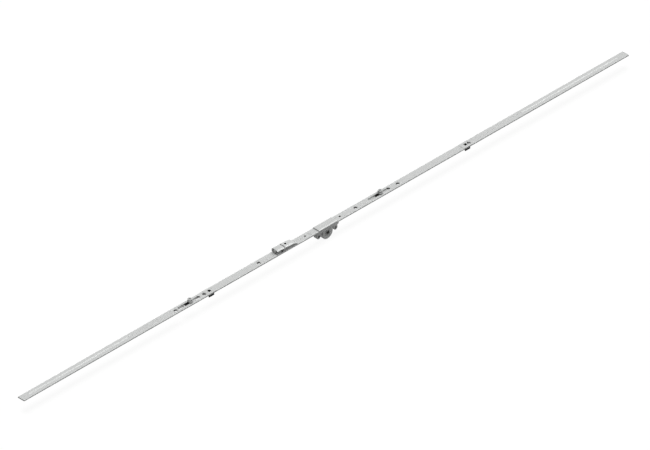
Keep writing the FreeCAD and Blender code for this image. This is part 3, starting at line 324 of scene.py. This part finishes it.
def refine(node, edge):
    """The CAD mesh of a node with its flat faces made whole and its sharp edges rounded."""
    source = frame["nodes"][node]
    bm = bmesh.new()
    bm.from_mesh(source.data)
    bm.transform(source.matrix_world)
    for vert in bm.verts:
        vert.co /= MM
    bmesh.ops.remove_doubles(bm, verts=bm.verts, dist=MERGE_DISTANCE)
    if edge:
        bmesh.ops.dissolve_limit(bm, angle_limit=FLAT_ANGLE, verts=bm.verts, edges=bm.edges)
        sharp = [item for item in bm.edges
                 if len(item.link_faces) == 2 and item.calc_face_angle(0.0) > SHARP_ANGLE]
        bmesh.ops.bevel(bm, geom=sharp, offset=edge, segments=2, profile=0.5, affect="EDGES",
                        clamp_overlap=True)
    return smooth(new_object(f"{node}_fine", bm))


# Materials

# Surface detail and painted edge highlights: noise scales per metre, the rounded edges' radius and
# lean, and the bumps
METAL_SCALES = {"clouds": 55.0, "grain": 2600.0, "scratches": 1500.0}
PLASTIC_SCALES = {"clouds": 300.0, "grain": 4500.0}
EDGE_RADIUS = 0.0003
EDGE_LEAN = (0.99, 0.80)
EDGE_HIGHLIGHT = 1.18
BRIGHTEST = 0.95
PLASTIC_EDGE_HIGHLIGHT = 2.5
PLASTIC_SPECULAR = 0.05
METAL_BUMP = 0.25
PLASTIC_BUMP = 0.3
BUMP_DISTANCE = 0.00003

# Tints, and stretches of the scratches: even, along the strip, upright
WHITE = (1.0, 1.0, 1.0)
COOL = (0.985, 1.0, 0.99)
EVEN = (1.0, 1.0, 1.0)
ALONG = (0.06, 1.0, 1.0)
UPRIGHT = (1.0, 1.0, 0.1)


class Nodes:
    """A small helper that adds linked nodes to one material."""

    def __init__(self, name):
        self.material = bpy.data.materials.new(name)
        self.material.use_nodes = True
        self.tree = self.material.node_tree
        self.shader = next(node for node in self.tree.nodes if node.type == "BSDF_PRINCIPLED")
        self.place = self.tree.nodes.new("ShaderNodeTexCoord").outputs["Object"]

    def add(self, kind, values=None, **settings):
        node = self.tree.nodes.new(kind)
        for name, setting in settings.items():
            setattr(node, name, setting)
        for socket, given in (values or {}).items():
            if isinstance(given, bpy.types.NodeSocket):
                self.tree.links.new(given, node.inputs[socket])
            else:
                node.inputs[socket].default_value = given
        return node

    def link(self, output, socket):
        self.tree.links.new(output, self.shader.inputs[socket])

    def stretched(self, scale):
        return self.add("ShaderNodeMapping", {"Vector": self.place, "Scale": scale}).outputs[0]

    def noise(self, where, scale, detail, roughness=0.55):
        node = self.add("ShaderNodeTexNoise", {"Vector": where, "Scale": scale, "Detail": detail,
                                               "Roughness": roughness})
        return node.outputs["Fac"]

    def span(self, output, low, high, to_low, to_high):
        node = self.add("ShaderNodeMapRange", {"Value": output, "From Min": low, "From Max": high,
                                               "To Min": to_low, "To Max": to_high})
        return node.outputs[0]

    def arithmetic(self, operation, first, second):
        return self.add("ShaderNodeMath", {0: first, 1: second}, operation=operation).outputs[0]

    def mix(self, factor, first, second):
        node = self.tree.nodes.new("ShaderNodeMix")
        node.data_type = "RGBA"
        for socket, given in ((0, factor), (6, first), (7, second)):
            if isinstance(given, bpy.types.NodeSocket):
                self.tree.links.new(given, node.inputs[socket])
            else:
                node.inputs[socket].default_value = given
        return node.outputs[2]

    def edges(self):
        """A mask that is 1 along sharp edges, from how far the rounded normal leans away."""
        rounded = self.add("ShaderNodeBevel", {"Radius": EDGE_RADIUS}, samples=4).outputs[0]
        flat = self.add("ShaderNodeNewGeometry").outputs["Normal"]
        lean = self.add("ShaderNodeVectorMath", {0: rounded, 1: flat}, operation="DOT_PRODUCT")
        return self.span(lean.outputs["Value"], *EDGE_LEAN, 0.0, 1.0)

    def bump(self, height, strength):
        raised = self.add("ShaderNodeBump", {"Height": height, "Strength": strength,
                                             "Distance": BUMP_DISTANCE})
        self.link(raised.outputs[0], "Normal")


def grey(level, tint=WHITE):
    return tuple(level * part for part in tint) + (1.0,)


def metal(name, level, metallic, rough, contrast, brushed):
    """A plated or bare metal: clouding, fine grain, faint scratches and a painted highlight along
    sharp edges.
    """
    made = Nodes(name)
    clouds = made.noise(made.place, METAL_SCALES["clouds"], 4.0)
    grain = made.noise(made.place, METAL_SCALES["grain"], 2.0)
    lines = made.noise(made.stretched(brushed), METAL_SCALES["scratches"], 3.0, 0.7)
    base = made.mix(made.span(clouds, 0.3, 0.7, 0.0, 1.0), grey(level * (1 - contrast), COOL),
                    grey(level * (1 + contrast * 0.5), COOL))
    base = made.mix(made.span(grain, 0.35, 0.68, 0.0, 0.5), base,
                    grey(level * (1 - 1.5 * contrast), COOL))
    # Painted highlight: the base colour gets lighter along sharp edges, more where the clouding is
    # high
    edge_highlight = made.arithmetic("MULTIPLY", made.edges(), made.span(clouds, 0.35, 0.6, 0.4, 1.0))
    base = made.mix(edge_highlight, base, grey(min(level * EDGE_HIGHLIGHT, BRIGHTEST), COOL))
    made.link(base, "Base Color")
    made.shader.inputs["Metallic"].default_value = metallic
    made.link(made.span(lines, 0.3, 0.7, rough - 0.05, rough + 0.07), "Roughness")
    made.bump(made.arithmetic("ADD", grain, lines), METAL_BUMP)
    return made.material


def plastic(name, level, rough):
    """A moulded plastic: faint clouding, fine grain and a painted highlight along its edges."""
    made = Nodes(name)
    clouds = made.noise(made.place, PLASTIC_SCALES["clouds"], 3.0)
    grain = made.noise(made.place, PLASTIC_SCALES["grain"], 2.0)
    base = made.mix(made.span(clouds, 0.3, 0.7, 0.0, 1.0), grey(level * 0.8), grey(level * 1.2))
    # Painted highlight: the base colour gets lighter along sharp edges
    base = made.mix(made.edges(), base, grey(level * PLASTIC_EDGE_HIGHLIGHT))
    made.link(base, "Base Color")
    made.link(made.span(clouds, 0.3, 0.7, rough - 0.06, rough + 0.06), "Roughness")
    made.shader.inputs["Specular IOR Level"].default_value = PLASTIC_SPECULAR
    made.bump(grain, PLASTIC_BUMP)
    return made.material


# Each metal's level of grey, metallic share, roughness, contrast and scratches
METALS = {
    "plate_zinc": (0.62, 0.10, 0.30, 0.03, ALONG),
    # painted shade: the strip's long sides are darker than its top
    "painted_shade_side_zinc": (0.50, 0.10, 0.40, 0.06, ALONG),
    # painted highlight: the bevels are brighter than the flat top
    "painted_highlight_zinc": (0.92, 0.30, 0.38, 0.03, ALONG),
    # painted highlight: the end grooves' walls are brighter than the top
    "painted_highlight_groove_zinc": (0.79, 0.10, 0.38, 0.03, ALONG),
    "rod_zinc": (0.58, 0.20, 0.45, 0.08, ALONG),
    "casing_zinc": (0.54, 0.15, 0.45, 0.12, EVEN),
    "pinion_steel": (0.30, 0.30, 0.42, 0.18, EVEN),
    "cam_steel": (0.55, 0.30, 0.30, 0.10, UPRIGHT),
    "pin_steel": (0.45, 0.40, 0.40, 0.10, EVEN),
    # blackened steel on the casing rivets; on walls of bores and holes and inside the lever it is
    # painted shade
    "dark_steel": (0.045, 0.20, 0.45, 0.20, EVEN),
    "lifter_zinc": (0.64, 0.10, 0.30, 0.05, EVEN),
    # painted shade: the lifter's front and back sides are darker than its top
    "painted_shade_lifter_side_zinc": (0.36, 0.15, 0.45, 0.15, EVEN),
}
FINISHES = {name: metal(name, *row) for name, row in METALS.items()}
FINISHES["black_plastic"] = plastic("black_plastic", 0.006, 0.50)

# The finish of each piece whose CAD mesh is refined, and how far its edges are rounded
NODE_FINISHES = {
    "rack_bar": ("rod_zinc", 0.1),
    "follower_pinion": ("pinion_steel", 0.15),
    "gear_casing_front": ("casing_zinc", 0.25),
    "gear_casing_back": ("casing_zinc", 0.25),
    "casing_rivets": ("dark_steel", 0.15),
    "casing_fixing_rivets": ("plate_zinc", 0.05),
    "lifter_housing": ("lifter_zinc", 0.25),
    "lifter_lever": ("lifter_zinc", 0.25),
    "lifter_roller": ("cam_steel", 0.25),
    "lifter_roller_pin": ("pin_steel", 0.2),
    "lifter_pivot_pin": ("pin_steel", 0.2),
    "lifter_spring": ("pin_steel", 0.0),
    "lifter_rivets": ("pin_steel", 0.05),
}
for side in SIDES:
    NODE_FINISHES[f"guide_clip_{side}"] = ("black_plastic", 0.3)
    NODE_FINISHES[f"cam_plug_{side}"] = ("black_plastic", 0.2)
    NODE_FINISHES[f"cam_bolt_{side}"] = ("cam_steel", 0.15)
    NODE_FINISHES[f"cam_roller_{side}"] = ("cam_steel", 0.3)
    NODE_FINISHES[f"cam_washer_{side}"] = ("pin_steel", 0.1)


def use(item, node, body, finish):
    """Puts a fine mesh in the place of a CAD node, in its body and with its finish."""
    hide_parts(node)
    item.data.materials.clear()
    item.data.materials.append(FINISHES[finish])
    if node == "lifter_spring":
        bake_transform(item)
    else:
        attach(item, body)


def finish_faces(item, finish, chosen):
    """Gives the faces that the test picks a further finish."""
    item.data.materials.append(FINISHES[finish])
    for face in item.data.polygons:
        if chosen(face.center / MM, face.normal):
            face.material_index = len(item.data.materials) - 1


# Places that get another colour: painted shade on walls of bores and holes, the lever's inside, the
# lifter's front and back sides and the strip's long sides, and painted highlights on the bevels and
# end grooves. A face counts by the parts of its normal along the axes
FLAT_PART = 0.95
SIDE_PART = 0.9
BEVEL_PART = 0.4
GROOVE_PART = 0.3
EDGE_MARGIN = 0.1
HOLE_MARGIN = 0.4
INDEX_HOLE = (1.2, 8.6, 1.4)
TONGUE_LEFT = -120.2
HALF_TONGUE = 3.25
NOSE_ENDS = (-129.3, -123.2)
NOSE_HALF_WIDTH = 5.7
LEVER_ROOF_RISE = 8.0
BEVELS_FROM = 4.5


# The next four tests pick faces for painted shade: walls of bores and holes, and the lever's inside
def in_plate_bore(centre, normal):
    bores = [(x, SCREW_RING_RADIUS) for x in SCREWS["left"] + SCREWS["right"]]
    bores += [(x, GAUGE_HOLE_RADIUS + HOLE_MARGIN) for x in GAUGE_HOLES]
    bores += [(x + TRAVEL + CAM_SLOT_SPARES[1], CAM_SLOT_HALF_WIDTH + HOLE_MARGIN)
              for x in CAMS.values()]
    return (abs(normal.z) < FLAT_PART
            and any(math.hypot(centre.x - x, centre.y) < radius for x, radius in bores))


def in_lifter_bore(centre, normal):
    away = math.hypot(centre.x - LIFTER_SCREW, centre.y)
    return abs(normal.z) < FLAT_PART and away < SCREW_RADIUS + HOLE_MARGIN


def in_index_hole(centre, normal):
    x, z, radius = INDEX_HOLE
    away = math.hypot(centre.x - x, centre.z - z)
    return abs(normal.y) < FLAT_PART and away < radius + HOLE_MARGIN


def inside_lever(centre, normal):
    in_nose = NOSE_ENDS[0] < centre.x < NOSE_ENDS[1] and abs(centre.y) < NOSE_HALF_WIDTH
    under_top = centre.z < PLATE_TOP + LEVER_ROOF_RISE
    return under_top and (in_nose or (centre.x > TONGUE_LEFT and abs(centre.y) < HALF_TONGUE))


# The lifter's front and back sides, which get painted shade
def on_front_or_back_side(centre, normal):
    return abs(normal.y) > SIDE_PART


# The strip's long sides, which get painted shade
def on_strip_long_side(centre, normal):
    return abs(normal.y) > SIDE_PART and abs(centre.y) > HALF_PLATE - EDGE_MARGIN


# Bevels along the top edges, which get a painted highlight
def on_bevel(centre, normal):
    return (normal.z > BEVEL_PART and BEVEL_PART < abs(normal.y) < SIDE_PART
            and abs(centre.y) > BEVELS_FROM)


# Walls of the end grooves, which get a painted highlight
def in_groove(centre, normal):
    return (abs(normal.y) > GROOVE_PART and abs(centre.y) < GROOVE_HALF_WIDTH
            and any(low < centre.x < high for low, high in GROOVES))


# Node, finish and test; where two tests pick a face, the later row holds
OTHER_FACES = (
    ("faceplate", "painted_highlight_groove_zinc", in_groove),
    ("faceplate", "painted_shade_side_zinc", on_strip_long_side),
    ("faceplate", "painted_highlight_zinc", on_bevel),
    ("faceplate", "dark_steel", in_plate_bore),
    ("lifter_housing", "painted_highlight_zinc", on_bevel),
    ("lifter_lever", "painted_highlight_zinc", on_bevel),
    ("lifter_housing", "painted_shade_lifter_side_zinc", on_front_or_back_side),
    ("lifter_housing", "dark_steel", in_lifter_bore),
    ("gear_casing_front", "dark_steel", in_index_hole),
    ("lifter_lever", "painted_shade_lifter_side_zinc", on_front_or_back_side),
    ("lifter_lever", "dark_steel", inside_lever),
)

PIECES = {"faceplate": (make_faceplate(), "plate_zinc")}
PIECES.update({f"drive_rod_{side}": (make_rod(side), "rod_zinc") for side in SIDES})
PIECES.update({node: (refine(node, edge), finish)
               for node, (finish, edge) in NODE_FINISHES.items()})
BODY_OF = {node: body for body, nodes in frame["record"]["behaviour"]["bodies"].items()
           for node in nodes}
for node, (item, finish) in PIECES.items():
    use(item, node, BODY_OF[node], finish)
for node, finish, chosen in OTHER_FACES:
    finish_faces(PIECES[node][0], finish, chosen)


# Stage, light and camera

FLOOR_Z = -13.7
FLOOR_REACH = 6000.0
FLOOR_GREY = 0.10
FLOOR_WHITE = 0.92
WORLD_LIGHT = 0.08
WORLD_WHITE = 1.0

# Each lamp's direction, strength and angle in degrees
LAMPS = {
    "key": ((0.58, -0.57, 0.58), 0.85, 30),
    "top": ((0.0, 0.15, 1.0), 2.3, 40),
}

# The photograph's view: degrees, millimetres, and its width in pixels over pixels per millimetre
AZIMUTH = -45
ELEVATION = 34.85
TARGET = (-1.4, 0.0, 14.45)
VIEW_WIDTH = 650 / 0.5552
LENS = 1150.0
SENSOR = 36.0
CLIP_START = 1.0


def background_rays(tree):
    """A factor that is 1 for the rays that should see the white background itself."""
    path = tree.nodes.new("ShaderNodeLightPath")
    seen = path.outputs["Is Camera Ray"]
    for kind in ("Is Glossy Ray", "Is Transmission Ray"):
        either = tree.nodes.new("ShaderNodeMath")
        either.operation = "MAXIMUM"
        tree.links.new(seen, either.inputs[0])
        tree.links.new(path.outputs[kind], either.inputs[1])
        seen = either.outputs[0]
    return seen


def make_floor():
    """A wide pale floor that keeps the shadow, and shows as white to the rays above."""
    bm = bmesh.new()
    bm.faces.new([bm.verts.new((x * FLOOR_REACH, y * FLOOR_REACH, FLOOR_Z))
                  for x, y in ((-1, -1), (1, -1), (1, 1), (-1, 1))])
    floor = new_object("studio_floor", bm)
    material = bpy.data.materials.new("studio_floor")
    material.use_nodes = True
    tree = material.node_tree
    tree.nodes.clear()
    diffuse = tree.nodes.new("ShaderNodeBsdfDiffuse")
    diffuse.inputs["Color"].default_value = grey(FLOOR_GREY)
    glow = tree.nodes.new("ShaderNodeEmission")
    glow.inputs["Color"].default_value = grey(1.0)
    strength = tree.nodes.new("ShaderNodeMath")
    strength.operation = "MULTIPLY"
    tree.links.new(background_rays(tree), strength.inputs[0])
    strength.inputs[1].default_value = FLOOR_WHITE
    tree.links.new(strength.outputs[0], glow.inputs["Strength"])
    both = tree.nodes.new("ShaderNodeAddShader")
    tree.links.new(diffuse.outputs[0], both.inputs[0])
    tree.links.new(glow.outputs[0], both.inputs[1])
    output = tree.nodes.new("ShaderNodeOutputMaterial")
    tree.links.new(both.outputs[0], output.inputs["Surface"])
    floor.data.materials.append(material)


def make_world():
    """A white background that lights the piece only a little."""
    world = bpy.data.worlds.new("studio")
    world.use_nodes = True
    tree = world.node_tree
    shade = tree.nodes["Background"]
    level = tree.nodes.new("ShaderNodeMapRange")
    tree.links.new(background_rays(tree), level.inputs["Value"])
    level.inputs["To Min"].default_value = WORLD_LIGHT
    level.inputs["To Max"].default_value = WORLD_WHITE
    tree.links.new(level.outputs[0], shade.inputs["Strength"])
    shade.inputs["Color"].default_value = grey(1.0)
    bpy.context.scene.world = world


def make_sun(name, towards, strength, angle):
    """A soft lamp for the matt part of the light; gloss comes from the white world and floor."""
    light = bpy.data.lights.new(name, "SUN")
    light.energy = strength
    light.angle = math.radians(angle)
    item = bpy.data.objects.new(name, light)
    item.visible_glossy = False
    item.rotation_mode = "QUATERNION"
    item.rotation_quaternion = Vector(towards).to_track_quat("Z", "Y")
    bpy.context.scene.collection.objects.link(item)


def make_camera():
    """A long lens from the front left, as the photograph looks at the piece."""
    azimuth, elevation = math.radians(AZIMUTH), math.radians(ELEVATION)
    back = Vector((math.sin(azimuth) * math.cos(elevation),
                   -math.cos(azimuth) * math.cos(elevation), math.sin(elevation)))
    data = bpy.data.cameras.new("camera")
    data.sensor_width = SENSOR
    data.lens = LENS
    away = VIEW_WIDTH * MM * data.lens / data.sensor_width
    camera = bpy.data.objects.new("camera", data)
    camera.rotation_mode = "QUATERNION"
    camera.rotation_quaternion = back.to_track_quat("Z", "Y")
    camera.location = Vector(TARGET) * MM + back * away
    data.clip_start, data.clip_end = CLIP_START, 2 * away
    bpy.context.scene.collection.objects.link(camera)
    bpy.context.scene.camera = camera


make_floor()
make_world()
for lamp, settings in LAMPS.items():
    make_sun(lamp, *settings)
make_camera()
bpy.context.scene.view_settings.view_transform = "Standard"
